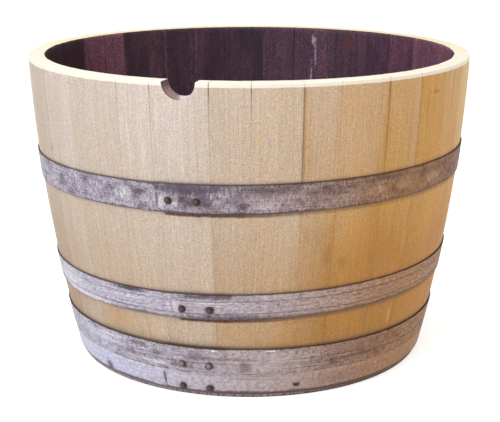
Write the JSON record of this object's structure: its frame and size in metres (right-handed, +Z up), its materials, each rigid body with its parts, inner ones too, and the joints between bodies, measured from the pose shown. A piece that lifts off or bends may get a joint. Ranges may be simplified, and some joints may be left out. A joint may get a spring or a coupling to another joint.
{
  "type": "barrel planter",
  "caption": "Half of a wooden barrel, sawn open at its widest, with steel hoops and a drained bottom, for planting in on the floor.",
  "frame": {"origin": "centre of the foot, on the ground", "axes": "+Z up along the barrel's axis, -Y towards the front with the bung notch and the hoop laps, +X to the right seen from the front"},
  "size_m": [0.6896, 0.6896, 0.473],
  "materials": {
    "sanded_oak": "sanded, bare, weathered pale; wine-stained dark purple inside",
    "stained_oak": "wine-stained above, bare below",
    "beech": "bare",
    "galvanised_steel": "hot-dip galvanised strip with dull purple-grey patina",
    "rusted_rivet": "rusted, domed"
  },
  "bodies": {
    "root": {"bung_stave": "sanded_oak", "stave_01": "sanded_oak", "stave_02": "sanded_oak", "stave_03": "sanded_oak", "stave_04": "sanded_oak", "stave_05": "sanded_oak", "stave_06": "sanded_oak", "stave_07": "sanded_oak", "stave_08": "sanded_oak", "stave_09": "sanded_oak", "stave_10": "sanded_oak", "stave_11": "sanded_oak", "stave_12": "sanded_oak", "stave_13": "sanded_oak", "stave_14": "sanded_oak", "stave_15": "sanded_oak", "stave_16": "sanded_oak", "stave_17": "sanded_oak", "stave_18": "sanded_oak", "stave_19": "sanded_oak", "stave_20": "sanded_oak", "stave_21": "sanded_oak", "stave_22": "sanded_oak", "stave_23": "sanded_oak", "stave_24": "sanded_oak", "stave_25": "sanded_oak", "stave_26": "sanded_oak", "stave_27": "sanded_oak", "stave_28": "sanded_oak", "stave_29": "sanded_oak", "stave_30": "sanded_oak", "stave_31": "sanded_oak", "head_board_1": "stained_oak", "head_board_2": "stained_oak", "head_board_3": "stained_oak", "head_board_4": "stained_oak", "head_board_5": "stained_oak", "head_board_6": "stained_oak", "head_board_7": "stained_oak", "head_dowels": "beech", "bilge_hoop": "galvanised_steel", "quarter_hoop": "galvanised_steel", "collar_hoop": "galvanised_steel", "chime_hoop": "galvanised_steel", "bilge_rivets": "rusted_rivet", "quarter_rivets": "rusted_rivet", "collar_rivets": "rusted_rivet", "chime_rivets": "rusted_rivet"}
  },
  "joints": []
}
